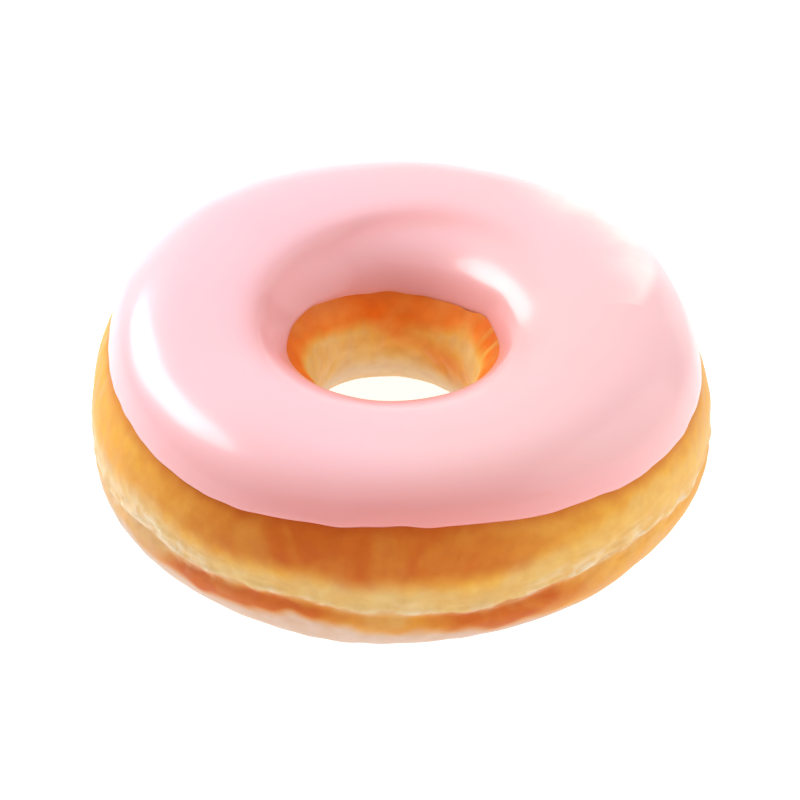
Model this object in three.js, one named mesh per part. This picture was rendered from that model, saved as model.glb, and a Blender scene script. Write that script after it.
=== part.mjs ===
// A yeast-raised ring doughnut with a smooth coat of icing on its top.
// Millimetres, +Z up. The doughnut rests on z = 0, centred on the origin, with its front towards -Y.
// Two solids: the ring of dough, fried as one piece, and the coat of icing it was dipped in.
import * as THREE from 'three';

// The ring of dough. The crown is the top of its section. The waists are its widest level, outside,
// and its narrowest, in the hole.
const OUTER_RADIUS = 47.4;
const HOLE_RADIUS = 11.6;
const CROWN_RADIUS = 31.7;
const DOUGH_HEIGHT = 29.8;
const OUTER_WAIST_HEIGHT = 12.4;
const INNER_WAIST_HEIGHT = 15.6;
const CREASE_DEPTH = 0.3;

// The flat ring it settles on
const BASE_OUTER_RADIUS = 35.6;
const BASE_INNER_RADIUS = 29.4;

// Squareness of the section: 2 is an ellipse, more is boxier
const OUTER_SQUARENESS = 2.34;
const INNER_SQUARENESS = 2.2;

// The coat of icing. Its thickness counts the gap to the dough, and it ends in a rounded lip on both sides.
const ICING_THICKNESS = 1.6;
const ICING_GAP = 0.3;
const ICING_LIP_SQUARENESS = 7;
const ICING_OUTER_EDGE_HEIGHT = 23.8;
const ICING_INNER_EDGE_HEIGHT = 24.4;

// Hand-shaping leaves the ring a little out of true, and dipping leaves the icing's edges a little wavy.
// Each wave has its number of crests in one turn, their size in millimetres, and where one of them is,
// in degrees from +X towards +Y.
const OUTER_RADIUS_WAVES = [
  { crests: 2, size: 0.4, at: 10 },
  { crests: 3, size: 0.4, at: -25 },
  { crests: 4, size: 0.4, at: -34 },
];
const HOLE_RADIUS_WAVES = [
  { crests: 1, size: 1.1, at: 195 },
  { crests: 2, size: 0.4, at: -48 },
  { crests: 3, size: 0.4, at: -16 },
];
const CROWN_HEIGHT_WAVES = [
  { crests: 1, size: 0.2, at: -40 },
  { crests: 2, size: 0.5, at: -24 },
  { crests: 3, size: 0.4, at: 0 },
];
const OUTER_WAIST_WAVES = [
  { crests: 1, size: 0.5, at: 20 },
  { crests: 4, size: 1.0, at: 50 },
];
const ICING_OUTER_EDGE_WAVES = [
  { crests: 1, size: 0.5, at: 220 },
  { crests: 2, size: 0.45, at: 70 },
  { crests: 4, size: 0.3, at: 12 },
];
const ICING_INNER_EDGE_WAVES = [
  { crests: 1, size: 0.6, at: 270 },
  { crests: 2, size: 0.9, at: 0 },
];

// Facets
const STEPS_AROUND = 72;
const STEPS_PER_QUARTER = 8;
const WAIST_CROWDING = 1.3;
const STEPS_OVER_ICING = 18;
const STEPS_UNDER_ICING = 10;

const RIGHT_ANGLE = Math.PI / 2;

function waveHeight(waves, angle) {
  return waves.reduce(
    (sum, { crests, size, at }) => sum + size * Math.cos(crests * (angle - THREE.MathUtils.degToRad(at))),
    0,
  );
}

// A quarter of the section is a superellipse. It turns from its waist, at 0, to its end, at a right angle:
// the crown or the base. This gives a point on it, as radius and height, and the outward normal there.
function quarterPoint({ waistRadius, waistHeight, endRadius, endHeight, squareness }, turn) {
  const width = waistRadius - endRadius;
  const height = endHeight - waistHeight;
  const across = Math.max(0, Math.cos(turn));
  const along = Math.sin(turn);
  const power = 2 / squareness;
  return {
    point: new THREE.Vector2(
      endRadius + width * across ** power,
      waistHeight + height * along ** power,
    ),
    normal: new THREE.Vector2(across ** (2 - power) / width, along ** (2 - power) / height).normalize(),
  };
}

// The turn at which a quarter reaches a height.
function turnAtHeight({ waistHeight, endHeight, squareness }, height) {
  return Math.asin(((height - waistHeight) / (endHeight - waistHeight)) ** (squareness / 2));
}

// The four quarters of the dough's section at an angle around the ring.
function doughQuarters(angle) {
  const outer = {
    waistRadius: OUTER_RADIUS + waveHeight(OUTER_RADIUS_WAVES, angle),
    waistHeight: OUTER_WAIST_HEIGHT + waveHeight(OUTER_WAIST_WAVES, angle),
    squareness: OUTER_SQUARENESS,
  };
  const inner = {
    waistRadius: HOLE_RADIUS + waveHeight(HOLE_RADIUS_WAVES, angle),
    waistHeight: INNER_WAIST_HEIGHT,
    squareness: INNER_SQUARENESS,
  };
  const crown = {
    endRadius: CROWN_RADIUS,
    endHeight: DOUGH_HEIGHT + waveHeight(CROWN_HEIGHT_WAVES, angle),
  };
  return {
    outerBottom: { ...outer, endRadius: BASE_OUTER_RADIUS, endHeight: 0 },
    outerTop: { ...outer, ...crown },
    innerTop: { ...inner, ...crown },
    innerBottom: { ...inner, endRadius: BASE_INNER_RADIUS, endHeight: 0 },
  };
}

// Turns from the waist to the end of a quarter, closer together near the waist.
function quarterTurns() {
  return Array.from(
    { length: STEPS_PER_QUARTER + 1 },
    (_, step) => RIGHT_ANGLE * (step / STEPS_PER_QUARTER) ** WAIST_CROWDING,
  );
}

// The closed section of the dough: base, outer side, crown and hole side, counter-clockwise.
function doughSection(angle) {
  const { outerBottom, outerTop, innerTop, innerBottom } = doughQuarters(angle);
  const waistToEnd = quarterTurns();
  const endToWaist = waistToEnd.toReversed();
  const pointsOf = (quarter, turns) => turns.map((turn) => quarterPoint(quarter, turn).point);
  const [outerWaist, ...outerTopPoints] = pointsOf(outerTop, waistToEnd);
  outerWaist.x -= CREASE_DEPTH;
  return [
    ...pointsOf(outerBottom, endToWaist.slice(0, -1)),
    outerWaist,
    ...outerTopPoints,
    ...pointsOf(innerTop, endToWaist.slice(1)),
    ...pointsOf(innerBottom, waistToEnd.slice(1)),
  ];
}

// The closed section of the icing: over the crown from the outer lip to the hole lip, then back under.
function icingSection(angle) {
  const { outerTop, innerTop } = doughQuarters(angle);
  const outerEdge = RIGHT_ANGLE
    - turnAtHeight(outerTop, ICING_OUTER_EDGE_HEIGHT + waveHeight(ICING_OUTER_EDGE_WAVES, angle));
  const innerEdge = RIGHT_ANGLE
    - turnAtHeight(innerTop, ICING_INNER_EDGE_HEIGHT + waveHeight(ICING_INNER_EDGE_WAVES, angle));

  // place runs from 1 at the outer edge, through 0 at the crown, to -1 at the hole edge.
  const raised = (place, lift) => {
    const quarter = place > 0 ? outerTop : innerTop;
    const reach = Math.abs(place) * (place > 0 ? outerEdge : innerEdge);
    const { point, normal } = quarterPoint(quarter, RIGHT_ANGLE - reach);
    return point.addScaledVector(normal, lift);
  };
  const over = Array.from({ length: STEPS_OVER_ICING + 1 }, (_, step) => {
    const place = Math.cos((Math.PI * step) / STEPS_OVER_ICING);
    const fullness = (1 - Math.abs(place) ** ICING_LIP_SQUARENESS) ** (1 / ICING_LIP_SQUARENESS);
    return raised(place, ICING_GAP + (ICING_THICKNESS - ICING_GAP) * fullness);
  });
  const under = Array.from(
    { length: STEPS_UNDER_ICING - 1 },
    (_, step) => raised(-1 + (2 * (step + 1)) / STEPS_UNDER_ICING, ICING_GAP),
  );
  return [...over, ...under];
}

// Joins the sections all the way round into one closed surface that faces out.
function ringGeometry(sectionAt) {
  const sections = Array.from({ length: STEPS_AROUND }, (_, step) => {
    const angle = (2 * Math.PI * step) / STEPS_AROUND;
    return sectionAt(angle).map(
      ({ x, y }) => new THREE.Vector3(x * Math.cos(angle), x * Math.sin(angle), y),
    );
  });
  const rows = sections[0].length;
  const indices = [];
  for (let step = 0; step < STEPS_AROUND; step += 1) {
    const nextStep = (step + 1) % STEPS_AROUND;
    for (let row = 0; row < rows; row += 1) {
      const nextRow = (row + 1) % rows;
      const here = step * rows + row;
      const beside = nextStep * rows + row;
      const above = step * rows + nextRow;
      const opposite = nextStep * rows + nextRow;
      indices.push(here, beside, opposite, here, opposite, above);
    }
  }
  const geometry = new THREE.BufferGeometry().setFromPoints(sections.flat());
  geometry.setIndex(indices);
  geometry.computeVertexNormals();
  return geometry;
}

function makeDough() {
  const material = new THREE.MeshStandardMaterial({ color: 0xd08a42, roughness: 0.55, metalness: 0 });
  const dough = new THREE.Mesh(ringGeometry(doughSection), material);
  dough.name = 'dough';
  return dough;
}

function makeIcing() {
  const material = new THREE.MeshStandardMaterial({ color: 0xf7c3cb, roughness: 0.25, metalness: 0 });
  const icing = new THREE.Mesh(ringGeometry(icingSection), material);
  icing.name = 'icing';
  return icing;
}

// The out-of-true outline is centred on the origin by its bounding box.
function centreOnOrigin(group) {
  const centre = new THREE.Box3().setFromObject(group).getCenter(new THREE.Vector3());
  group.children.forEach((mesh) => mesh.geometry.translate(-centre.x, -centre.y, 0));
}

const doughnut = new THREE.Group();
doughnut.name = 'ring_doughnut';
doughnut.add(makeDough(), makeIcing());
centreOnOrigin(doughnut);

export default doughnut;
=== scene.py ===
import math
from dataclasses import dataclass

import bpy
import numpy as np
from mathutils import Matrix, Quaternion, Vector


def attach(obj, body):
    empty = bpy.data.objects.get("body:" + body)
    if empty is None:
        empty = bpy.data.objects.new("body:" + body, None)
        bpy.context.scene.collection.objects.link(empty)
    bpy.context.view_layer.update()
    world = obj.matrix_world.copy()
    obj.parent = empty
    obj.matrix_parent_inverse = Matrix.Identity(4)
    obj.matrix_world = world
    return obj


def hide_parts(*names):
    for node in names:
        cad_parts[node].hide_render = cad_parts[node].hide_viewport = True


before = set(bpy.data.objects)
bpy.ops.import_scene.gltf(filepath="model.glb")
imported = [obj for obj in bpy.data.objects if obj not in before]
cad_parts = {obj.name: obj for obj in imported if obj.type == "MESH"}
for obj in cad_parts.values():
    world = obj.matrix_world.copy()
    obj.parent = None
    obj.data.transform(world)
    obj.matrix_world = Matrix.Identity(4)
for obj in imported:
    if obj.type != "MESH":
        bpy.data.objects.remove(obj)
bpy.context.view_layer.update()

# Lengths are in millimetres until a mesh is made, unless a comment says metres. Angles in tables are in
# degrees from +X towards +Y, and the front is at 270.
MM = 0.001
RIGHT_ANGLE = math.pi / 2

# These dimensions are the CAD part's own. The icing's thickness counts the CAD part's gap to the dough.
OUTER_RADIUS = 47.4
HOLE_RADIUS = 11.6
CROWN_RADIUS = 31.7
DOUGH_HEIGHT = 29.8
OUTER_WAIST_HEIGHT = 12.4
INNER_WAIST_HEIGHT = 15.6
BASE_OUTER_RADIUS = 35.6
BASE_INNER_RADIUS = 29.4
OUTER_SQUARENESS = 2.34
INNER_SQUARENESS = 2.2
ICING_THICKNESS = 1.6
ICING_OUTER_EDGE_HEIGHT = 23.8
ICING_INNER_EDGE_HEIGHT = 24.4

# Each wave is (crests in one turn, size, angle of one crest), as in the CAD part.
OUTER_RADIUS_WAVES = [(2, 0.4, 10), (3, 0.4, -25), (4, 0.4, -34)]
HOLE_RADIUS_WAVES = [(1, 1.1, 195), (2, 0.4, -48), (3, 0.4, -16)]
CROWN_HEIGHT_WAVES = [(1, 0.2, -40), (2, 0.5, -24), (3, 0.4, 0)]
OUTER_WAIST_WAVES = [(1, 0.5, 20), (4, 1.0, 50)]
ICING_OUTER_EDGE_WAVES = [(1, 0.5, 220), (2, 0.45, 70), (4, 0.3, 12)]
ICING_INNER_EDGE_WAVES = [(1, 0.6, 270), (2, 0.9, 0)]

# How finely the meshes are divided. Rows go up a quarter of the section from its waist, each stretch
# being (share of the quarter's length where it ends, number of rows).
STEPS_AROUND = 530
CURVE_STEPS = 240
OUTER_BOTTOM_ROWS = [(0.5, 42), (1, 16)]
OUTER_TOP_ROWS = [(0.55, 42), (1, 6)]
INNER_TOP_ROWS = [(0.6, 28), (1, 6)]
INNER_BOTTOM_ROWS = [(0.6, 34), (1, 12)]
ICING_ROWS_OVER = 116
ICING_ROWS_UNDER = 16


# ---------------------------------------------------------------- shape

def wave_sum(waves, angles):
    return sum(size * np.cos(crests * (angles - math.radians(at))) for crests, size, at in waves)


def smooth_step(low, high, value):
    share = np.clip((value - low) / (high - low), 0, 1)
    return share * share * (3 - 2 * share)


def bell(value, width):
    return np.exp(-0.5 * (value / width) ** 2)


def angle_bell(angles, centre_degrees, width_degrees):
    """A bell round the ring, 1 at the centre."""
    away = (np.degrees(angles) - centre_degrees + 180) % 360 - 180
    return bell(away, width_degrees)


def sum_of_bells(angles, bells):
    """The sum of bells round the ring, each (angle, width in degrees, size)."""
    return sum(size * angle_bell(angles, at, width) for at, width, size in bells)


def patches_on(angles, height, patches):
    """The sum of soft oval patches, each (angle, width in degrees, height, spread in height, strength)."""
    return sum(
        strength * angle_bell(angles, at, width) * bell(height - middle, spread)
        for at, width, middle, spread, strength in patches
    )


def ripple(points, wavelength, seed, count=28):
    """A smooth random field, mostly within -1 to 1, whose lumps are about a wavelength apart."""
    random = np.random.default_rng(seed)
    directions = random.normal(size=(count, points.shape[-1]))
    directions /= np.linalg.norm(directions, axis=1, keepdims=True)
    directions *= random.uniform(0.6, 1.4, (count, 1)) * 2 * math.pi / wavelength
    phases = random.uniform(0, 2 * math.pi, count)
    total = np.zeros(points.shape[:-1])
    for direction, phase in zip(directions, phases):
        total += np.cos(points @ direction + phase)
    return total / math.sqrt(count)


def ripple_sum(points, ripples):
    """The sum of ripples, each (wavelength, size, seed)."""
    return sum(size * ripple(points, wavelength, seed) for wavelength, size, seed in ripples)


@dataclass
class Quarter:
    """A quarter of the section: a superellipse from its waist, at turn 0, to its end, at a right angle.

    Each size is a column with one value for each angle round the ring, or the same for all.
    """

    waist_radius: np.ndarray
    waist_height: np.ndarray
    end_radius: float
    end_height: np.ndarray
    squareness: float

    def points(self, turns):
        """Radius and height at these turns."""
        power = 2 / self.squareness
        across = np.clip(np.cos(turns), 0, 1) ** power
        along = np.sin(turns) ** power
        radius = self.end_radius + (self.waist_radius - self.end_radius) * across
        height = self.waist_height + (self.end_height - self.waist_height) * along
        return radius, height

    def normals(self, turns):
        """The outward normal at these turns, as its radial and its vertical part."""
        power = 2 - 2 / self.squareness
        radial = np.clip(np.cos(turns), 0, 1) ** power / (self.waist_radius - self.end_radius)
        vertical = np.sin(turns) ** power / (self.end_height - self.waist_height)
        length = np.hypot(radial, vertical)
        return radial / length, vertical / length

    def turn_at(self, height):
        share = (height - self.waist_height) / (self.end_height - self.waist_height)
        return np.arcsin(share ** (self.squareness / 2))

    def spaced(self, shares):
        """Radius, height and distance from the waist at these shares of the quarter's length."""
        turns = np.linspace(0, RIGHT_ANGLE, CURVE_STEPS)
        radius, height = self.points(turns[None, :])
        steps = np.hypot(np.diff(radius, axis=1), np.diff(height, axis=1))
        travelled = np.concatenate([np.zeros((len(steps), 1)), np.cumsum(steps, axis=1)], axis=1)
        wanted = travelled[:, -1:] * shares

        def at_wanted(values):
            return np.array([np.interp(w, t, v) for w, t, v in zip(wanted, travelled, values)])

        return at_wanted(radius), at_wanted(height), wanted


def quarters(angles):
    """The outer bottom, outer top, inner top and inner bottom quarters at these angles."""
    column = angles[:, None]
    flat = np.zeros_like(column)
    outer = OUTER_RADIUS + wave_sum(OUTER_RADIUS_WAVES, column)
    inner = HOLE_RADIUS + wave_sum(HOLE_RADIUS_WAVES, column)
    outer_waist = OUTER_WAIST_HEIGHT + wave_sum(OUTER_WAIST_WAVES, column)
    inner_waist = INNER_WAIST_HEIGHT + flat
    crown = DOUGH_HEIGHT + wave_sum(CROWN_HEIGHT_WAVES, column)
    return (
        Quarter(outer, outer_waist, BASE_OUTER_RADIUS, flat, OUTER_SQUARENESS),
        Quarter(outer, outer_waist, CROWN_RADIUS, crown, OUTER_SQUARENESS),
        Quarter(inner, inner_waist, CROWN_RADIUS, crown, INNER_SQUARENESS),
        Quarter(inner, inner_waist, BASE_INNER_RADIUS, flat, INNER_SQUARENESS),
    )


def row_shares(stretches):
    """Shares of a quarter's length, from 0 to 1, one for each row."""
    shares = [0.0]
    for end, rows in stretches:
        shares.extend(np.linspace(shares[-1], end, rows + 1)[1:])
    return np.array(shares)


def positions(angles, radius, height):
    column = angles[:, None]
    return np.stack([radius * np.cos(column), radius * np.sin(column), height], axis=-1)


def grid_normals(points):
    """Outward normals of a grid of points that closes in both directions."""
    round_ring = np.roll(points, -1, axis=0) - np.roll(points, 1, axis=0)
    up_section = np.roll(points, -1, axis=1) - np.roll(points, 1, axis=1)
    normals = np.cross(round_ring, up_section)
    return normals / np.linalg.norm(normals, axis=-1, keepdims=True)


def round_ring_points(angles):
    """Points on the outer waist, so that a ripple read there joins up after one turn."""
    return OUTER_RADIUS * np.stack([np.cos(angles), np.sin(angles)], axis=-1)


def centred(points, outline):
    """The points, moved so that the outline's bounding box is centred on the origin, as in the CAD part."""
    middle = (outline.reshape(-1, 3).max(axis=0) + outline.reshape(-1, 3).min(axis=0)) / 2
    return points - np.array([middle[0], middle[1], 0.0])


def ring_mesh(name, points, masks):
    """A closed ring of quads, with a flat UV map and one float attribute for each mask."""
    around, rows, _ = points.shape
    step, row = np.meshgrid(np.arange(around), np.arange(rows), indexing="ij")
    next_step, next_row = (step + 1) % around, (row + 1) % rows
    corners = np.stack(
        [step * rows + row, next_step * rows + row, next_step * rows + next_row, step * rows + next_row],
        axis=-1,
    )
    mesh = bpy.data.meshes.new(name)
    mesh.from_pydata((points.reshape(-1, 3) * MM).tolist(), [], corners.reshape(-1, 4).tolist())
    along = np.linalg.norm(np.roll(points[0], -1, axis=0) - points[0], axis=1)
    up = np.concatenate([[0.0], np.cumsum(along) / along.sum()])
    across = np.arange(around + 1) / around
    u = np.stack([across[step], across[step + 1], across[step + 1], across[step]], axis=-1)
    v = np.stack([up[row], up[row], up[row + 1], up[row + 1]], axis=-1)
    layer = mesh.uv_layers.new(name="OFBake")
    layer.data.foreach_set("uv", np.stack([u, v], axis=-1).ravel())
    for label, values in masks.items():
        attribute = mesh.attributes.new(label, "FLOAT", "POINT")
        attribute.data.foreach_set("value", np.broadcast_to(values, step.shape).astype(np.float32).ravel())
    mesh.shade_smooth()
    piece = bpy.data.objects.new(name, mesh)
    bpy.context.scene.collection.objects.link(piece)
    return piece


# ---------------------------------------------------------------- dough

# The dough's swelling and its finer texture, as ripples: each is (wavelength, size, seed). The icing follows
# the swelling.
SWELLING = [(34, 0.2, 11), (13, 0.06, 12)]
TEXTURE = [(4.5, 0.04, 27)]
BLISTER_COUNT = 150
BLISTER_SPREADS = (0.6, 1.5)
BLISTER_HEIGHTS = (0.03, 0.1)
BLISTER_SEED = 29
# All of it fades out below this height, so that the dough still rests flat.
SETTLED_HEIGHT = 2.5

# The crease round the outside swings up or down at its kinks, each (angle, width in degrees, size), and
# wanders a little everywhere. It is crumpled, and chalky with painted glints, round a few angles, each with
# a strength.
CREASE_KINKS = [
    (221, 5, 1.2),
    (254, 5, 1.2),
    (287, 9, -1.2),
    (333, 6, -0.7),
    (60, 8, 1.0),
    (130, 10, -1.0),
]
CREASE_WANDER = [(15, 0.22, 21), (5, 0.2, 22)]
CRUMPLED = [(222, 9, 0.9), (318, 16, 1.0), (95, 25, 0.7), (180, 15, 0.6)]

# A ridge stands out along the crease, with a broken second one above it. Both rise where it is crumpled.
RIDGE_HEIGHT = 0.2
RIDGE_UNEVENNESS = [(9, 0.16, 23)]
RIDGE_LIMITS = (0.02, 0.6)
RIDGE_SPREAD = 0.42
UPPER_RIDGE_UNEVENNESS = [(14, 0.15, 24)]
UPPER_RIDGE_LIMITS = (0, 0.35)
UPPER_RIDGE_PLACE = 1.6
UPPER_RIDGE_SPREAD = 0.5
CRUMPLED_RISE = 0.14

# The valleys beside the ridges are (distance above the crease, spread, depth). Fine crinkles fill them.
VALLEYS = [(-1.2, 0.8, 0.32), (0.9, 2.0, 0.25)]
CRINKLE_PLACE = 0.8
CRINKLE_SPREAD = 1.6
CRINKLE_HEIGHT = 0.12
CRINKLE_LEAST_STRENGTH = 0.35
CRINKLE_LENGTH = 5.0
CRINKLE_WIDTH = 1.1
CRINKLE_SLANT = 0.9
CRINKLE_SEED = 25

# The shallow crease in the hole runs below the waist there.
HOLE_CREASE_DROP = 2.0
HOLE_CREASE_WANDER = [(18, 0.8, 26)]
HOLE_CREASE_DEPTH = 0.2
HOLE_CREASE_SPREAD = 0.7


@dataclass
class DoughGrid:
    """The smooth dough as a grid: angles round the ring by rows up the section.

    rise is the distance above the nearer waist along the section. inside is 1 on the hole's side, else 0.
    """

    angles: np.ndarray
    points: np.ndarray
    rise: np.ndarray
    inside: np.ndarray

    @property
    def column(self):
        return self.angles[:, None]

    @property
    def height(self):
        return self.points[..., 2]


def dough_grid(angles):
    """Rows run up the outside from the base to the crown, down the hole and back under the base."""
    outer_bottom, outer_top, inner_top, inner_bottom = quarters(angles)
    stretches = []
    for quarter, shares, upward, side in (
        (outer_bottom, row_shares(OUTER_BOTTOM_ROWS)[:0:-1], -1, 0),
        (outer_top, row_shares(OUTER_TOP_ROWS), 1, 0),
        (inner_top, row_shares(INNER_TOP_ROWS)[-2::-1], 1, 1),
        (inner_bottom, row_shares(INNER_BOTTOM_ROWS)[1:], -1, 1),
    ):
        radius, height, distance = quarter.spaced(shares)
        stretches.append((radius, height, upward * distance, np.full_like(radius, side)))
    radius, height, rise, inside = (np.concatenate(part, axis=1) for part in zip(*stretches))
    return DoughGrid(angles, positions(angles, radius, height), rise, inside)


def crinkles(grid):
    """Fine folds that run nearly along the crease."""
    along = grid.column * OUTER_RADIUS + CRINKLE_SLANT * grid.rise
    places = np.stack([along / CRINKLE_LENGTH, grid.rise / CRINKLE_WIDTH], axis=-1)
    return ripple(places, 1.0, CRINKLE_SEED)


def crease_relief(grid, from_crease, crumpled):
    """How far the crease stands out of the dough, less where it sinks in, and its ridges alone."""
    places = round_ring_points(grid.angles)
    height = RIDGE_HEIGHT + ripple_sum(places, RIDGE_UNEVENNESS)[:, None] + CRUMPLED_RISE * crumpled
    upper_height = ripple_sum(places, UPPER_RIDGE_UNEVENNESS)[:, None] + CRUMPLED_RISE * crumpled
    ridge = np.clip(height, *RIDGE_LIMITS) * bell(from_crease, RIDGE_SPREAD)
    from_upper_ridge = from_crease - UPPER_RIDGE_PLACE
    ridge += np.clip(upper_height, *UPPER_RIDGE_LIMITS) * bell(from_upper_ridge, UPPER_RIDGE_SPREAD)
    valleys = sum(depth * bell(from_crease - place, spread) for place, spread, depth in VALLEYS)
    crinkled = bell(from_crease - CRINKLE_PLACE, CRINKLE_SPREAD) * (CRINKLE_LEAST_STRENGTH + crumpled)
    return ridge - valleys + CRINKLE_HEIGHT * crinkled * crinkles(grid), ridge


def hole_crease_depth(grid):
    wander = ripple_sum(round_ring_points(grid.angles), HOLE_CREASE_WANDER)[:, None]
    return HOLE_CREASE_DEPTH * bell(grid.rise + HOLE_CREASE_DROP - wander, HOLE_CREASE_SPREAD)


def blisters(grid):
    """Small fried blisters: low round bumps at random places."""
    random = np.random.default_rng(BLISTER_SEED)
    places = grid.points.reshape(-1, 3)
    total = np.zeros(len(places))
    for chosen in random.integers(0, len(places), BLISTER_COUNT):
        spread = random.uniform(*BLISTER_SPREADS)
        height = random.uniform(*BLISTER_HEIGHTS)
        total += height * bell(np.linalg.norm(places - places[chosen], axis=1), spread)
    return total.reshape(grid.rise.shape)


def make_dough(angles):
    """The dough, and the smooth surface whose outline both pieces are centred by."""
    grid = dough_grid(angles)
    wander = ripple_sum(round_ring_points(angles), CREASE_WANDER)
    from_crease = grid.rise - (sum_of_bells(angles, CREASE_KINKS) + wander)[:, None]
    crumpled = sum_of_bells(grid.column, CRUMPLED)
    crease, ridge = crease_relief(grid, from_crease, crumpled)
    swelling = ripple_sum(grid.points, SWELLING + TEXTURE) + blisters(grid)
    swelling += np.where(grid.inside, -hole_crease_depth(grid), crease)
    settled = smooth_step(0.0, SETTLED_HEIGHT, grid.height)
    points = grid.points + grid_normals(grid.points) * (swelling * settled)[..., None]
    outer = outer_masks(grid, from_crease, ridge, crumpled)
    hole = hole_masks(grid)
    masks = {
        label: np.clip(np.where(grid.inside, hole.get(label, 0), outer.get(label, 0)), 0, 1)
        for label in DOUGH_MASKS
    }
    piece = ring_mesh("dough_ring", centred(points, grid.points), masks)
    piece.data.materials.append(dough_material())
    return piece, grid.points


# ---------------------------------------------------------------- where the dough's colours go

# crust is golden, deep is brown over it, under is the underside, painted paler in part for light from the
# floor, ridge is chalky with painted glints, edge is a painted shadow line along the icing, and hole turns
# the palette into the hole's own, painted lighter against the shade in the hole.
DOUGH_MASKS = ("crust", "deep", "under", "ridge", "edge", "hole")

# Blotches, as ripples, keep every boundary and strength uneven. Each ..._RAGGED value says how much.
OUTER_BLOTCHES = [(13, 1.0, 31), (5, 0.5, 32)]
BROAD_BLOTCHES = [(45, 1.0, 33)]
HOLE_BLOTCHES = [(11, 1.0, 34), (4.5, 0.5, 35)]

# The floury side of the dough is paler below the crease and chalky above it.
FLOURY_ANGLE = 203
FLOURY_WIDTH = 21

# The pale band above the crease: its height, and how golden it is. Each rise, here and below, is
# (angle, width in degrees, size).
BAND_HEIGHT = 3.6
BAND_HEIGHT_RISES = [(210, 15, 1.4), (282, 24, 1.5), (327, 20, 3.4), (60, 30, 1.6), (150, 20, 1.2)]
BAND_HEIGHT_RAGGED = 0.7
BAND_CRUST = 0.12
BAND_CRUST_RISES = [(325, 26, 0.45)]
BAND_CRUST_RAGGED = 0.1
BAND_FOOT = 0.5
CRUST_STARTS_BELOW_BAND_TOP = 3.4
CRUST_FULL_ABOVE_BAND_TOP = 2.0

# The crust below the crease
LOWER_CRUST = 0.75
LOWER_CRUST_RISES = [(FLOURY_ANGLE, FLOURY_WIDTH, -0.65)]
LOWER_CRUST_RAGGED = 0.2
LOWER_CRUST_FULL = 1.6
LOWER_CRUST_START_RAGGED = 0.3

# The underside, painted paler up to this height, in part for light thrown up from the floor
UNDERSIDE_HEIGHT = 4.6
UNDERSIDE_RISES = [(256, 20, 3.0), (FLOURY_ANGLE, FLOURY_WIDTH, 4.0)]
UNDERSIDE_RAGGED = 0.8
UNDERSIDE_FADE = 1.3

# The browning above the band, strongest at the front, where it is in part painted shade, and below the
# crease, where it comes in patches. A patch, here or in the hole, is (angle, width in degrees, height,
# spread in height, strength).
BROWN_STARTS_BELOW_BAND_TOP = 2.2
BROWN_FULL_ABOVE_BAND_TOP = 2.2
UPPER_BROWN = 0.16
# Browner at the front: in part painted shade
UPPER_BROWN_AND_FRONT_SHADE_RISES = [(265, 26, 0.78)]
UPPER_BROWN_RAGGED = 0.08
LOWER_BROWN = 0.2
LOWER_BROWN_PATCHES = [
    (235, 9, 9.4, 1.7, 1.1),
    (252, 9, 9.6, 1.4, 0.6),
    (291, 10, 8.4, 2.4, 1.1),
    (20, 16, 9.0, 1.8, 0.7),
    (120, 20, 9.0, 2.0, 0.8),
]
LOWER_BROWN_RAGGED = 0.7
UNDERSIDE_HIDES_BROWN = 0.7

# Chalk lies on the ridges, where the crease is crumpled and on the floury side; on the ridges and the
# crumples it is in part painted glints. Its places are distances above the crease.
CHALK_AND_GLINT_FOR_RIDGE_HEIGHT = 2.0
CRUMPLED_CHALK_AND_GLINT = 0.3
CRUMPLED_CHALK_PLACE = 0.6
CRUMPLED_CHALK_SPREAD = 1.3
FLOURY_CHALK = 0.6
FLOURY_CHALK_PLACE = 1.2
FLOURY_CHALK_SPREAD = 2.4

# The painted shadow line on the dough along the icing's edge
OUTER_EDGE_SHADOW_SPREAD = 0.8
HOLE_EDGE_SHADOW_SPREAD = 1.0
HOLE_EDGE_SHADOW = 0.6

# The hole's wall is orange under the icing, golden lower down and pale near the base. Each ..._FADE pair
# here is where a mask starts and where it is full.
ORANGE_HEIGHT = 20.2
ORANGE_HEIGHT_WAVES = [(2, 2.2, 4)]
ORANGE_RAGGED = 0.7
ORANGE_STARTS_BELOW = 1.6
ORANGE_FULL_ABOVE = 1.8
ORANGE_STRENGTH = 0.9
GOLDEN_FADE = (8.0, 14.5)
GOLDEN_RAGGED = 0.8
GOLDEN_STRENGTH = 0.66
GOLDEN_STREAKINESS = 0.06
HOLE_PATCHES = [(40, 22, 15.0, 2.0, 0.75), (85, 18, 16.5, 1.3, 0.4), (250, 30, 15.0, 2.0, 0.5)]
HOLE_PATCH_RAGGED = 0.6
HOLE_PATCH_BROWN = 0.75
HOLE_PALETTE_FADE = (3.0, 9.0)

# Pale upright streaks through the orange on the right of the hole
STREAKS_IN_A_RADIAN = 4
STREAK_LENGTH = 18
STREAK_SEED = 36
STREAKY_SIDE = [(8, 16, 0.6)]
STREAK_FADE = (0.2, 1.4)


def upper_crust(grid, band_top, from_crease, broad):
    """The golden crust above the pale band, and the band's own faint gold."""
    above = smooth_step(
        band_top - CRUST_STARTS_BELOW_BAND_TOP, band_top + CRUST_FULL_ABOVE_BAND_TOP, from_crease
    )
    band = BAND_CRUST + sum_of_bells(grid.column, BAND_CRUST_RISES) + BAND_CRUST_RAGGED * broad
    return np.maximum(above, band * smooth_step(-BAND_FOOT, BAND_FOOT, from_crease))


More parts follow.
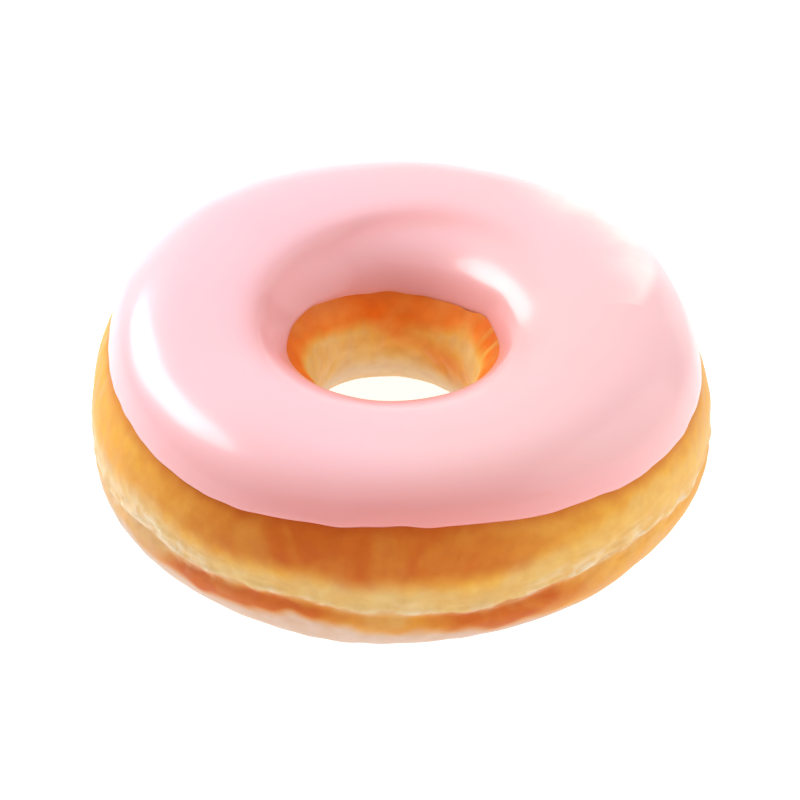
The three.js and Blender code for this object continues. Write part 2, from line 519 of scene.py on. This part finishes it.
def lower_crust(grid, from_crease, uneven):
    strength = LOWER_CRUST + sum_of_bells(grid.column, LOWER_CRUST_RISES) + LOWER_CRUST_RAGGED * uneven
    below_crease = LOWER_CRUST_START_RAGGED * uneven - from_crease
    return np.clip(strength, 0, 1) * smooth_step(0.0, LOWER_CRUST_FULL, below_crease)


# Paler towards the base: in part painted light from the floor below
def paler_underside_and_uplight(grid, uneven):
    top = UNDERSIDE_HEIGHT + sum_of_bells(grid.column, UNDERSIDE_RISES) + UNDERSIDE_RAGGED * uneven
    return 1 - smooth_step(top - UNDERSIDE_FADE, top + UNDERSIDE_FADE, grid.height)


def upper_browning(grid, above_band, broad):
    strength = UPPER_BROWN + sum_of_bells(grid.column, UPPER_BROWN_AND_FRONT_SHADE_RISES) + UPPER_BROWN_RAGGED * broad
    return strength * smooth_step(-BROWN_STARTS_BELOW_BAND_TOP, BROWN_FULL_ABOVE_BAND_TOP, above_band)


def lower_browning(grid, under, uneven):
    height = grid.height - LOWER_BROWN_RAGGED * uneven
    strength = LOWER_BROWN + patches_on(grid.column, height, LOWER_BROWN_PATCHES)
    return strength * (1 - UNDERSIDE_HIDES_BROWN * under)


def chalk_and_glints(grid, from_crease, ridge, crumpled):
    on_crumples = CRUMPLED_CHALK_AND_GLINT * crumpled
    on_crumples = on_crumples * bell(from_crease - CRUMPLED_CHALK_PLACE, CRUMPLED_CHALK_SPREAD)
    floury = FLOURY_CHALK * angle_bell(grid.column, FLOURY_ANGLE, FLOURY_WIDTH)
    floury = floury * bell(from_crease - FLOURY_CHALK_PLACE, FLOURY_CHALK_SPREAD)
    return CHALK_AND_GLINT_FOR_RIDGE_HEIGHT * ridge + on_crumples + floury


def outer_masks(grid, from_crease, ridge, crumpled):
    """The masks on the dough's outside."""
    uneven = ripple_sum(grid.points, OUTER_BLOTCHES)
    broad = ripple_sum(grid.points, BROAD_BLOTCHES)
    band_top = BAND_HEIGHT + sum_of_bells(grid.column, BAND_HEIGHT_RISES) + BAND_HEIGHT_RAGGED * uneven
    under = paler_underside_and_uplight(grid, uneven)
    upper_brown = upper_browning(grid, from_crease - band_top + uneven, broad)
    lower_brown = lower_browning(grid, under, uneven) * (from_crease < 0)
    outer_edge, _ = icing_edge_heights(grid.angles)
    return {
        "crust": upper_crust(grid, band_top, from_crease, broad) + lower_crust(grid, from_crease, uneven),
        "deep": upper_brown + lower_brown,
        "under": under,
        "ridge": chalk_and_glints(grid, from_crease, ridge, crumpled),
        # Painted shadow under the icing's edge
        "edge": bell(grid.height - outer_edge, OUTER_EDGE_SHADOW_SPREAD),
    }


def hole_streaks(grid):
    places = np.broadcast_arrays(grid.column * STREAKS_IN_A_RADIAN, grid.height / STREAK_LENGTH)
    return ripple(np.stack(places, axis=-1), 1.0, STREAK_SEED)


def hole_masks(grid):
    """The masks on the hole's wall."""
    uneven = ripple_sum(grid.points, HOLE_BLOTCHES)
    streaks = hole_streaks(grid)
    orange_from = ORANGE_HEIGHT + wave_sum(ORANGE_HEIGHT_WAVES, grid.column) + ORANGE_RAGGED * uneven
    orange = smooth_step(orange_from - ORANGE_STARTS_BELOW, orange_from + ORANGE_FULL_ABOVE, grid.height)
    golden = smooth_step(*GOLDEN_FADE, grid.height - GOLDEN_RAGGED * uneven)
    golden = golden * (GOLDEN_STRENGTH + GOLDEN_STREAKINESS * streaks)
    patch = patches_on(grid.column, grid.height - HOLE_PATCH_RAGGED * uneven, HOLE_PATCHES)
    streaky = sum_of_bells(grid.column, STREAKY_SIDE) * smooth_step(*STREAK_FADE, streaks)
    _, inner_edge = icing_edge_heights(grid.angles)
    return {
        "crust": golden + orange + patch,
        "deep": orange * (ORANGE_STRENGTH - streaky) + HOLE_PATCH_BROWN * patch,
        # Painted shadow under the icing's edge in the hole
        "edge": HOLE_EDGE_SHADOW * bell(grid.height - inner_edge, HOLE_EDGE_SHADOW_SPREAD),
        "hole": smooth_step(*HOLE_PALETTE_FADE, grid.height),
    }


# ---------------------------------------------------------------- icing

# The visual icing has softer, thinner lips than the CAD part's, and its underside is sunk into the dough.
ICING_OUTER_LIP_SQUARENESS = 5
ICING_INNER_LIP_SQUARENESS = 2.6
ICING_EDGE_THINNING = 0.35
ICING_THINS_FROM = 0.7
ICING_SINK = 0.25
OUTER_EDGE_RAGGEDNESS = [(17, 0.14, 41), (6, 0.06, 42)]
INNER_EDGE_RAGGEDNESS = [(24, 0.12, 43)]
DOUGH_SWELLING_SHOWN = 0.7
FLOW = [(26, 0.09, 52)]

# The shoulder: at the back left of the hole, the icing drops a step inside this radius, below a faint rim.
# The drop fades out again nearer the hole, between the two radii of SHOULDER_FADE.
SHOULDER_SIDE = [(150, 38, 1.4)]
SHOULDER_RADIUS = 20.8
SHOULDER_RADIUS_RISES = [(60, 34, 5.4)]
SHOULDER_STEP_HALF_WIDTH = 1.3
SHOULDER_DEPTH = 0.6
SHOULDER_FADE = (13.5, 17.5)
SHOULDER_RIM_HEIGHT = 0.08
SHOULDER_RIM_PLACE = 2.0
SHOULDER_RIM_SPREAD = 1.4
# The shoulder's hollow is painted a deeper salmon: painted shade below the step.
SHOULDER_SHADE_SIDE = [(135, 52, 1.5)]
SHOULDER_SHADE_DROP = 0.8
SHOULDER_SHADE_SPREAD = 1.9

# The gathered patch at the back right starts at a slanting line, whose angle grows with the radius, and
# fades out between the two angles of GATHER_END_FADE. Its creamy colour is a painted reflection of light
# from low at the back.
GATHER_START = 5
GATHER_START_RADIUS = 37.8
GATHER_SLANT = 3.75
GATHER_START_FADE = 4.0
GATHER_END_FADE = (42, 66)
GATHER_RADIUS = 39.0
GATHER_SPREAD = 3.0
GATHER_HEIGHT = 0.24

# A fold runs through it, slowly outwards.
FOLD = [(28, 12, 0.12)]
FOLD_RADIUS = 36.6
FOLD_RADIUS_ANGLE = 30
FOLD_SLANT = 0.1
FOLD_SPREAD = 1.3

# Where the icing is warmer, and how much its outer edge deepens in colour round the ring: a little all round
# where it is thin, and painted shade that is strongest at the front
WARM_SIDE = 340
FRONT_EDGE_SHADE = 0.15
FRONT_EDGE_SHADE_RISES = [(270, 36, 0.85)]


def icing_edge_heights(angles):
    """The height of the icing's edge on the outside and in the hole."""
    places = round_ring_points(angles)
    outer = wave_sum(ICING_OUTER_EDGE_WAVES, angles) + ripple_sum(places, OUTER_EDGE_RAGGEDNESS)
    inner = wave_sum(ICING_INNER_EDGE_WAVES, angles) + ripple_sum(places, INNER_EDGE_RAGGEDNESS)
    return ICING_OUTER_EDGE_HEIGHT + outer[:, None], ICING_INNER_EDGE_HEIGHT + inner[:, None]


def icing_fullness(place):
    """How thick the icing is at each place, from -1 at the hole's edge to 1 outside, sunk part included."""
    squareness = np.where(place > 0, ICING_OUTER_LIP_SQUARENESS, ICING_INNER_LIP_SQUARENESS)
    rounded = (1 - np.abs(place) ** squareness) ** (1 / squareness)
    thinned = 1 - ICING_EDGE_THINNING * smooth_step(ICING_THINS_FROM, 1.0, np.abs(place))
    return rounded * thinned * (ICING_THICKNESS + ICING_SINK)


def shoulder_relief(radius, column):
    """The shoulder's relief, and the mask of the painted shade, a deeper salmon, in its hollow."""
    step_radius = SHOULDER_RADIUS + sum_of_bells(column, SHOULDER_RADIUS_RISES)
    outwards = radius - step_radius
    below_step = 1 - smooth_step(-SHOULDER_STEP_HALF_WIDTH, SHOULDER_STEP_HALF_WIDTH, outwards)
    rim = SHOULDER_RIM_HEIGHT * bell(outwards - SHOULDER_RIM_PLACE, SHOULDER_RIM_SPREAD)
    relief = rim - SHOULDER_DEPTH * below_step * smooth_step(*SHOULDER_FADE, radius)
    painted_shade = smooth_step(0, 1, sum_of_bells(column, SHOULDER_SHADE_SIDE))
    painted_shade = painted_shade * bell(outwards + SHOULDER_SHADE_DROP, SHOULDER_SHADE_SPREAD)
    return smooth_step(0, 1, sum_of_bells(column, SHOULDER_SIDE)) * relief, painted_shade


def gathered_patch(radius, degrees):
    start = GATHER_START + GATHER_SLANT * (radius - GATHER_START_RADIUS)
    started = smooth_step(start - GATHER_START_FADE, start + GATHER_START_FADE, degrees)
    ended = smooth_step(*GATHER_END_FADE, degrees)
    return started * (1 - ended) * bell(radius - GATHER_RADIUS, GATHER_SPREAD)


def icing_relief(smooth, column):
    """The icing's relief over its smooth surface, the gathered patch, whose mask also carries a painted
    reflection, and the shoulder's painted shade.
    """
    radius = np.hypot(smooth[..., 0], smooth[..., 1])
    degrees = np.degrees(column)
    shoulder, shoulder_shade = shoulder_relief(radius, column)
    gather_and_painted_reflection = gathered_patch(radius, degrees)
    fold_radius = FOLD_RADIUS + FOLD_SLANT * (degrees - FOLD_RADIUS_ANGLE)
    fold = sum_of_bells(column, FOLD) * bell(radius - fold_radius, FOLD_SPREAD)
    return shoulder + GATHER_HEIGHT * gather_and_painted_reflection - fold + ripple_sum(smooth, FLOW), gather_and_painted_reflection, shoulder_shade


def make_icing(angles, outline):
    """Rows run over the icing from the outer edge to the hole's, and back under it."""
    column = angles[:, None]
    _, outer_top, inner_top, _ = quarters(angles)
    outer_height, inner_height = icing_edge_heights(angles)
    outer_edge = RIGHT_ANGLE - outer_top.turn_at(outer_height)
    inner_edge = RIGHT_ANGLE - inner_top.turn_at(inner_height)
    over = np.cos(np.linspace(0, math.pi, ICING_ROWS_OVER + 1))
    under = np.linspace(-1, 1, ICING_ROWS_UNDER + 1)[1:-1]
    place = np.concatenate([over, under])[None, :]
    outer_reach = np.clip(place, 0, 1)
    inner_reach = np.clip(-place, 0, 1)
    outer_turn = RIGHT_ANGLE - outer_reach * outer_edge
    inner_turn = RIGHT_ANGLE - inner_reach * inner_edge
    outer = outer_top.points(outer_turn) + outer_top.normals(outer_turn)
    inner = inner_top.points(inner_turn) + inner_top.normals(inner_turn)
    radius, height, radial, vertical = (np.where(place > 0, o, i) for o, i in zip(outer, inner))
    fullness = np.concatenate([icing_fullness(over), np.zeros(len(under))])[None, :]
    lift = fullness - ICING_SINK
    smooth = positions(angles, radius + lift * radial, height + lift * vertical)
    relief, gather_and_painted_reflection, shoulder_shade = icing_relief(smooth, column)
    shown = smooth_step(0.0, 1.0, fullness / ICING_THICKNESS)
    swelling = DOUGH_SWELLING_SHOWN * ripple_sum(smooth, SWELLING) + shown * relief
    points = smooth + grid_normals(smooth) * np.where(shown > 0, swelling, 0)[..., None]
    masks = {
        "outer_reach": outer_reach,
        "inner_reach": inner_reach,
        "warm": 0.5 + 0.5 * np.cos(column - math.radians(WARM_SIDE)),
        # front: how deep the outer edge's salmon goes, painted shade strongest at the front
        "front": FRONT_EDGE_SHADE + sum_of_bells(column, FRONT_EDGE_SHADE_RISES),
        # gather: the gathered patch, which in colour is a painted reflection
        "gather_and_painted_reflection": gather_and_painted_reflection,
        "shoulder": shoulder_shade,
    # shoulder: painted shade in the shoulder's hollow
    }
    piece = ring_mesh("icing_coat", centred(points, outline), masks)
    piece.data.materials.append(icing_material())
    return piece


# ---------------------------------------------------------------- materials

# Nearly all of a noise node's values lie between these.
NOISE_LOW = 0.3
NOISE_HIGH = 0.7


def colour(red, green, blue):
    """A shader colour from 8-bit sRGB values, by the upper part of the sRGB curve: none is nearly black."""
    linear = [((channel / 255 + 0.055) / 1.055) ** 2.4 for channel in (red, green, blue)]
    return (*linear, 1.0)


class NodeMaterial:
    """A material whose nodes are added by short calls.

    An input that is a socket is linked, and any other is set.
    """

    def __init__(self, name):
        self.material = bpy.data.materials.new(name)
        self.material.use_nodes = True
        self.nodes = self.material.node_tree.nodes
        self.links = self.material.node_tree.links
        self.shader = self.nodes["Principled BSDF"]

    def put(self, socket, value):
        if isinstance(value, bpy.types.NodeSocket):
            self.links.new(value, socket)
        else:
            socket.default_value = value

    def add(self, kind, inputs=None, **settings):
        made = self.nodes.new(kind)
        for name, value in settings.items():
            setattr(made, name, value)
        for name, value in (inputs or {}).items():
            self.put(made.inputs[name], value)
        return made

    def mask(self, name, strength=None):
        value = self.add("ShaderNodeAttribute", attribute_name=name).outputs["Fac"]
        return value if strength is None else self.calculate("MULTIPLY", value, strength)

    def place(self):
        return self.add("ShaderNodeTexCoord").outputs["Object"]

    def grain(self, spacing, detail=3.0, distortion=0.0):
        """Noise from 0 to 1 whose grains are this far apart."""
        inputs = {
            "Vector": self.place(),
            "Scale": 1 / (spacing * MM),
            "Detail": detail,
            "Distortion": distortion,
        }
        return self.add("ShaderNodeTexNoise", inputs).outputs["Fac"]

    def rescale(self, value, to_low=0.0, to_high=1.0, low=NOISE_LOW, high=NOISE_HIGH):
        """The value, carried smoothly from the range low to high into the range to_low to to_high."""
        inputs = {"Value": value, "From Min": low, "From Max": high, "To Min": to_low, "To Max": to_high}
        return self.add("ShaderNodeMapRange", inputs, interpolation_type="SMOOTHSTEP").outputs["Result"]

    def calculate(self, operation, first, second):
        """The sum, product or other result, kept within 0 to 1."""
        made = self.add("ShaderNodeMath", operation=operation, use_clamp=True)
        self.put(made.inputs[0], first)
        self.put(made.inputs[1], second)
        return made.outputs["Value"]

    def blend(self, share, under, over, kind="MIX"):
        """The colour under, covered by the colour over as far as the share says."""
        made = self.add("ShaderNodeMix", data_type="RGBA", blend_type=kind)
        inputs = {socket.identifier: socket for socket in made.inputs}
        outputs = {socket.identifier: socket for socket in made.outputs}
        self.put(inputs["Factor_Float"], share)
        self.put(inputs["A_Color"], under)
        self.put(inputs["B_Color"], over)
        return outputs["Result_Color"]

    def bump(self, height, distance, strength, below=None):
        inputs = {"Height": height, "Distance": distance * MM, "Strength": strength}
        if below is not None:
            inputs["Normal"] = below
        return self.add("ShaderNodeBump", inputs).outputs["Normal"]

    def surface(self, **values):
        for name, value in values.items():
            self.put(self.shader.inputs[name.replace("_", " ")], value)
        return self.material


def dough_tint(m, fine):
    """The dough's colour: cream, then golden, a paler underside partly painted uplight, brown, chalk with
    painted glints and a painted shadow line over it.
    """
    cream = colour(220, 184, 120)
    golden = colour(236, 179, 68)
    brown = colour(200, 98, 18)
    underside = colour(212, 192, 184)
    chalk_and_glint_white = colour(238, 222, 196)
    edge_shadow_brown = colour(188, 82, 18)
    # The hole's own palette, painted lighter than the outside's against the shade in the hole
    hole_cream_painted_lighter = colour(224, 204, 172)
    hole_golden_painted_lighter = colour(236, 196, 98)
    hole_orange_painted_lighter = colour(240, 120, 24)
    dull_mottle = colour(232, 198, 140)
    bright_mottle = colour(255, 255, 250)

    blotches = m.grain(spacing=9.0, distortion=0.8)
    hole = m.mask("hole")
    pale = m.blend(hole, cream, hole_cream_painted_lighter)
    toasted = m.blend(hole, golden, hole_golden_painted_lighter)
    browned = m.blend(hole, brown, hole_orange_painted_lighter)
    crust = m.calculate("ADD", m.mask("crust"), m.rescale(blotches, to_low=-0.12, to_high=0.12))
    deep_blotches = m.rescale(blotches, to_low=0.85, to_high=1.15, high=0.65)
    specks = m.rescale(m.grain(spacing=2.0, detail=2.0), to_low=0.25, to_high=0.85, low=0.35, high=0.65)
    tint = m.blend(crust, pale, toasted)
    # Paler underside, in part painted light from the floor below
    tint = m.blend(m.mask("under", strength=0.85), tint, underside)
    tint = m.blend(m.mask("deep", strength=deep_blotches), tint, browned)
    # Chalk on the ridges, in part painted glints
    tint = m.blend(m.mask("ridge", strength=specks), tint, chalk_and_glint_white)
    # Painted shadow along the icing's edge
    tint = m.blend(m.mask("edge", strength=0.5), tint, edge_shadow_brown)
    mottle = m.blend(m.rescale(fine), dull_mottle, bright_mottle)
    return m.blend(share=0.35, under=tint, over=mottle, kind="MULTIPLY")


def dough_material():
    m = NodeMaterial("fried_dough")
    fine = m.grain(spacing=2.4, detail=4.0)
    pores = m.grain(spacing=0.7, detail=2.0)
    crumbs = m.bump(fine, distance=0.2, strength=0.2)
    return m.surface(
        Base_Color=dough_tint(m, fine),
        Roughness=m.rescale(fine, to_low=0.38, to_high=0.55),
        Normal=m.bump(pores, distance=0.06, strength=0.2, below=crumbs),
        Specular_IOR_Level=0.18,
        Subsurface_Weight=0.12,
        Subsurface_Radius=(2.0 * MM, 1.3 * MM, 0.6 * MM),
        Subsurface_Scale=1.0,
    )


def icing_tint(m):
    """The icing's colour: two pinks, deeper salmon where it is thin and as painted shade at the front, in
    the hole and in the shoulder's hollow, and creamy with a painted reflection where it has gathered.
    """
    pink = colour(248, 198, 207)
    rose = colour(249, 199, 201)
    thin_edge_and_shade_salmon = colour(232, 142, 136)
    painted_reflection_cream = colour(255, 232, 228)

    clouds = m.rescale(m.grain(spacing=30.0, detail=2.0), to_low=-0.2, to_high=0.2)
    outer_edge = m.rescale(m.mask("outer_reach"), low=0.0, high=1.1)
    inner_edge = m.rescale(m.mask("inner_reach"), to_high=0.8, low=0.25, high=1.05)
    curds = m.rescale(m.grain(spacing=11.0), to_low=0.4, to_high=1.0, high=0.6)
    tint = m.blend(m.calculate("ADD", m.mask("warm"), clouds), pink, rose)
    # Salmon at the outer edge: thin icing, and painted shade strongest at the front
    tint = m.blend(m.mask("front", strength=outer_edge), tint, thin_edge_and_shade_salmon)
    # Salmon towards the hole's edge: thin icing, and painted shade down into the hole
    tint = m.blend(inner_edge, tint, thin_edge_and_shade_salmon)
    # Painted shade in the shoulder's hollow
    tint = m.blend(m.mask("shoulder", strength=0.5), tint, thin_edge_and_shade_salmon)
    # A painted reflection: creamy on the gathered patch at the back right
    return m.blend(m.mask("gather_and_painted_reflection", strength=curds), tint, painted_reflection_cream)


def icing_material():
    m = NodeMaterial("pink_icing")
    ripples = m.bump(m.grain(spacing=6.0, detail=1.0), distance=0.2, strength=0.05)
    pits = m.grain(spacing=1.2, detail=2.0)
    return m.surface(
        Base_Color=icing_tint(m),
        Roughness=m.rescale(m.grain(spacing=5.0), to_low=0.29, to_high=0.35),
        Normal=m.bump(pits, distance=0.03, strength=0.08, below=ripples),
        Specular_IOR_Level=0.4,
        Coat_Weight=0.55,
        Coat_Roughness=0.14,
        Subsurface_Weight=0.25,
        Subsurface_Radius=(1.8 * MM, 1.0 * MM, 1.0 * MM),
        Subsurface_Scale=1.0,
    )


# ---------------------------------------------------------------- studio

# The floor is a light table, whose own glow keeps the shadow faint. The world's glow fills in all round.
# Its sizes are in metres, and so are those of the lights and the camera.
FLOOR_RADIUS = 2.4
FLOOR_CURVE_RADIUS = 0.6
FLOOR_CURVE_ROWS = 13
FLOOR_STEPS_AROUND = 96
FLOOR_GLOW = 0.85
WORLD_GLOW = 0.54

# The nested ovals of the main light, as shares of its size
KEY_LAYERS = (1.0, 0.78, 0.56)

CAMERA_AZIMUTH = 270
CAMERA_ELEVATION = 39.9
CAMERA_DISTANCE = 0.7
CAMERA_AIM = (0.0, 0.0, 0.0129)
CAMERA_SENSOR_WIDTH_MM = 36.0
CAMERA_LENS_MM = 204.7


def floor_material():
    m = NodeMaterial("floor")
    grey = colour(186, 186, 186)
    paler_grey = colour(190, 190, 190)
    return m.surface(
        Base_Color=m.blend(m.grain(spacing=60.0), grey, paler_grey),
        Roughness=0.9,
        Emission_Color=colour(255, 255, 255),
        Emission_Strength=FLOOR_GLOW,
    )


def make_floor():
    """A flat round floor whose far rim curves up, so that low views see no horizon."""
    turns = np.arange(FLOOR_STEPS_AROUND) * 2 * math.pi / FLOOR_STEPS_AROUND
    corners = [(0.0, 0.0, 0.0)]
    for bend in np.linspace(0, RIGHT_ANGLE, FLOOR_CURVE_ROWS):
        radius = FLOOR_RADIUS + FLOOR_CURVE_RADIUS * math.sin(bend)
        height = FLOOR_CURVE_RADIUS * (1 - math.cos(bend))
        corners.extend((radius * math.cos(turn), radius * math.sin(turn), height) for turn in turns)
    faces = []
    for step in range(FLOOR_STEPS_AROUND):
        following = (step + 1) % FLOOR_STEPS_AROUND
        faces.append((0, 1 + step, 1 + following))
        for row in range(FLOOR_CURVE_ROWS - 1):
            low = 1 + row * FLOOR_STEPS_AROUND
            high = low + FLOOR_STEPS_AROUND
            faces.append((low + step, high + step, high + following, low + following))
    mesh = bpy.data.meshes.new("floor")
    mesh.from_pydata(corners, [], faces)
    mesh.shade_smooth()
    floor = bpy.data.objects.new("floor", mesh)
    floor.data.materials.append(floor_material())
    bpy.context.scene.collection.objects.link(floor)


def compass(azimuth, elevation):
    """A direction: azimuth in degrees from +X towards +Y, elevation above the floor."""
    turn, rise = math.radians(azimuth), math.radians(elevation)
    return Vector((math.cos(turn) * math.cos(rise), math.sin(turn) * math.cos(rise), math.sin(rise)))


def softbox(name, azimuth, elevation, distance, width, height, radiance, layers=(1.0,), lean=0.0):
    """An oval light that faces the doughnut, its top leaning by so many degrees towards a larger azimuth.

    With nested layers its reflection fades towards the rim.
    """
    direction = compass(azimuth, elevation)
    upright = direction.to_track_quat("Z", "Y")
    leaning = upright @ Quaternion((0, 0, 1), -math.radians(lean))
    for share in layers:
        light = bpy.data.lights.new(f"{name}_{share:.2f}", "AREA")
        light.shape = "ELLIPSE"
        light.size = width * share
        light.size_y = height * share
        face = math.pi / 4 * light.size * light.size_y
        light.energy = radiance / len(layers) * math.pi * face
        lamp = bpy.data.objects.new(light.name, light)
        lamp.location = direction * distance
        lamp.rotation_euler = leaning.to_euler()
        bpy.context.scene.collection.objects.link(lamp)


def make_lights():
    softbox(
        "key",
        azimuth=136.5,
        elevation=42,
        distance=0.7,
        width=0.24,
        height=0.65,
        radiance=15,
        layers=KEY_LAYERS,
        lean=26,
    )
    softbox("right_fill", azimuth=-5, elevation=35, distance=1.0, width=1.4, height=1.0, radiance=1.05)
    world = bpy.data.worlds.new("studio")
    world.use_nodes = True
    sky = world.node_tree.nodes["Background"]
    sky.inputs["Color"].default_value = (1.0, 1.0, 1.0, 1.0)
    sky.inputs["Strength"].default_value = WORLD_GLOW
    bpy.context.scene.world = world


def make_camera():
    """A long lens that looks down at the front of the doughnut."""
    lens = bpy.data.cameras.new("camera")
    lens.sensor_width = CAMERA_SENSOR_WIDTH_MM
    lens.lens = CAMERA_LENS_MM
    camera = bpy.data.objects.new("camera", lens)
    direction = compass(CAMERA_AZIMUTH, CAMERA_ELEVATION)
    camera.location = Vector(CAMERA_AIM) + direction * CAMERA_DISTANCE
    camera.rotation_euler = direction.to_track_quat("Z", "Y").to_euler()
    bpy.context.scene.collection.objects.link(camera)
    bpy.context.scene.camera = camera


def main():
    angles = np.arange(STEPS_AROUND) * 2 * math.pi / STEPS_AROUND
    dough, outline = make_dough(angles)
    icing = make_icing(angles, outline)
    for piece, node, slot in ((dough, "dough", "fried_dough"), (icing, "icing", "pink_icing")):
        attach(piece, "root")
        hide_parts(node)
    make_floor()
    make_lights()
    make_camera()
    bpy.context.scene.view_settings.view_transform = "Standard"


main()
